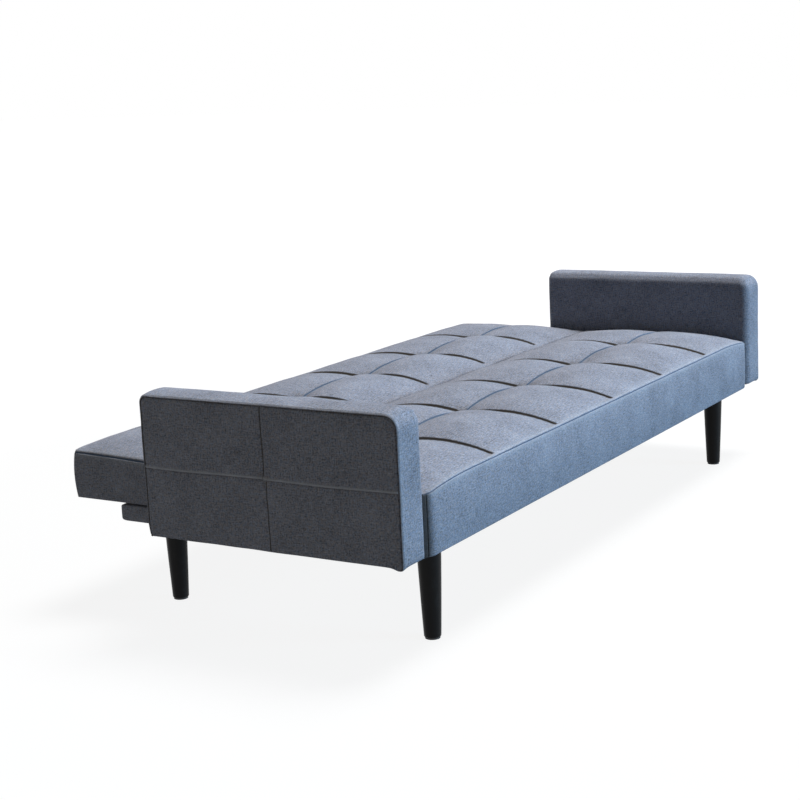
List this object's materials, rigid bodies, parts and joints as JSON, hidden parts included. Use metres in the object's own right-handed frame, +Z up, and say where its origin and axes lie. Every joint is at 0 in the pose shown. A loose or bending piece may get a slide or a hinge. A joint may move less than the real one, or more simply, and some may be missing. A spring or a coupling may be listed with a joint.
{
  "type": "click clack sofa bed",
  "caption": "Upholstered click clack sofa bed with box arms, tufted seat and folding back, on round tapered legs; lies flat as a bed and its back lifts to make a sofa.",
  "frame": {"origin": "on the floor under the middle of the whole, with the bed lying flat", "axes": "+X along the sofa to the right-hand arm as seen from the front, -Y to the front of the seat, +Z up"},
  "size_m": [1.988, 0.919, 0.516],
  "materials": {
    "upholstery": "heathered grey-blue woven upholstery fabric, matt",
    "lining": "thin black non-woven lining",
    "webbing": "woven elastic straps",
    "timber": "raw sawn softwood and board",
    "leg_lacquer": "turned wood in satin black lacquer",
    "glide": "moulded black plastic",
    "zinc_steel": "zinc-plated pressed steel",
    "pad_rubber": "black rubber"
  },
  "bodies": {
    "base": {"arm_cover_left": "upholstery", "arm_cover_right": "upholstery", "arm_panel_left": "timber", "arm_panel_right": "timber", "arm_bolt_front_left": "zinc_steel", "arm_bolt_rear_left": "zinc_steel", "arm_bolt_front_right": "zinc_steel", "arm_bolt_rear_right": "zinc_steel", "seat_cushion": "upholstery", "seat_front_rail": "timber", "seat_rear_rail": "timber", "seat_left_rail": "timber", "seat_right_rail": "timber", "seat_webbing": "webbing", "base_front_rail": "timber", "base_rear_rail": "timber", "base_left_rail": "timber", "base_right_rail": "timber", "base_middle_rail": "timber", "base_wrap": "upholstery", "dust_cover": "lining", "leg_front_left": "leg_lacquer", "leg_front_right": "leg_lacquer", "leg_rear_left": "leg_lacquer", "leg_rear_right": "leg_lacquer", "glide_front_left": "glide", "glide_front_right": "glide", "glide_rear_left": "glide", "glide_rear_right": "glide", "rest_pad_left": "pad_rubber", "rest_pad_right": "pad_rubber", "hinge_seat_leaf_left": "zinc_steel", "hinge_seat_leaf_right": "zinc_steel", "hinge_pin_left": "zinc_steel", "hinge_pin_right": "zinc_steel", "pawl_pin_left": "zinc_steel", "pawl_pin_right": "zinc_steel", "pawl_spring_left": "zinc_steel", "pawl_spring_right": "zinc_steel", "seat_leaf_bolt_1_left": "zinc_steel", "seat_leaf_bolt_2_left": "zinc_steel", "seat_leaf_bolt_1_right": "zinc_steel", "seat_leaf_bolt_2_right": "zinc_steel"},
    "backrest": {"back_cushion": "upholstery", "back_front_rail": "timber", "back_rear_rail": "timber", "back_left_rail": "timber", "back_right_rail": "timber", "back_webbing": "webbing", "back_lining": "lining", "hinge_back_leaf_left": "zinc_steel", "hinge_back_leaf_right": "zinc_steel", "back_leaf_bolt_1_left": "zinc_steel", "back_leaf_bolt_2_left": "zinc_steel", "back_leaf_bolt_1_right": "zinc_steel", "back_leaf_bolt_2_right": "zinc_steel"},
    "pawl_left": {"pawl_left": "zinc_steel"},
    "pawl_right": {"pawl_right": "zinc_steel"}
  },
  "joints": [
    {"name": "backrest_fold", "type": "hinge", "parent": "base", "child": "backrest", "pos_m": [0, 0.078, 0.332], "axis": [1, 0, 0], "range_deg": [0, 80]},
    {"name": "pawl_left_swing", "type": "hinge", "parent": "base", "child": "pawl_left", "pos_m": [-0.8941, 0.036, 0.306], "axis": [1, 0, 0], "range_deg": [0, 12], "stiffness_Nm_per_rad": 0.05},
    {"name": "pawl_right_swing", "type": "hinge", "parent": "base", "child": "pawl_right", "pos_m": [0.8941, 0.036, 0.306], "axis": [1, 0, 0], "range_deg": [0, 12], "stiffness_Nm_per_rad": 0.05}
  ],
  "couplings": [
    {"joint": "pawl_right_swing", "follows": "pawl_left_swing", "ratio": 1}
  ]
}
